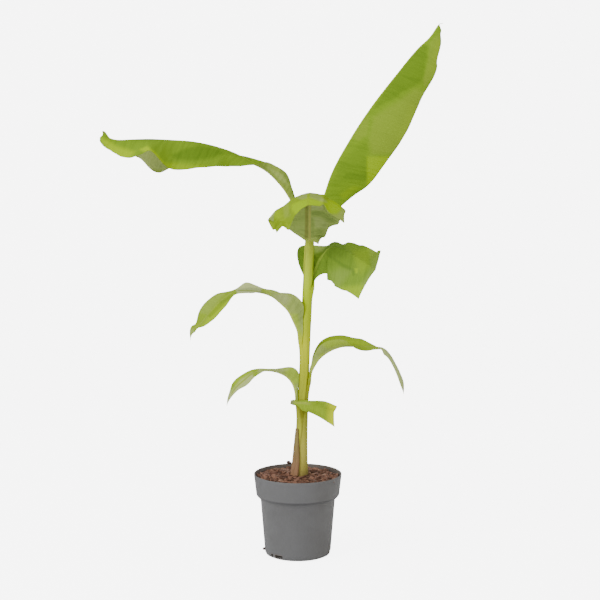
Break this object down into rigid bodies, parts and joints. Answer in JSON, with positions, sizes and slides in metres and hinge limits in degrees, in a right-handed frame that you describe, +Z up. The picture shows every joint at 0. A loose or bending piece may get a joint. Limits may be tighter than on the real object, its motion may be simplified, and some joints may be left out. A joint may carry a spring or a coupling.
{
  "type": "potted japanese banana",
  "caption": "Young Japanese banana plant with broad, bent and arching leaves on a slim green stem, standing in bark compost in a round grey nursery pot.",
  "frame": {"origin": "centre of the pot's flat underside", "axes": "+Z up along the plant's height, which is its longest extent; -Y towards the viewer of the picture, +X to the viewer's right"},
  "size_m": [0.4504, 0.146, 0.7201],
  "materials": {
    "pot_plastic": "smooth moulded grey plastic",
    "bark_compost": "damp reddish-brown bark strips and compost",
    "stem": "smooth yellow-green overlapping sheaths",
    "dry_sheath": "dry tan-brown sheath",
    "leaf": "satin green leaf with fine cross veins"
  },
  "bodies": {
    "root": {"pot": "pot_plastic", "soil": "bark_compost", "pseudostem": "stem", "old_sheath": "dry_sheath", "leaf_upper_left": "leaf", "leaf_upper_right": "leaf", "leaf_crown": "leaf", "leaf_middle_right": "leaf", "leaf_mid_left": "leaf", "leaf_lower_right": "leaf", "leaf_lower_left": "leaf", "leaf_small_cut": "leaf"}
  },
  "joints": []
}
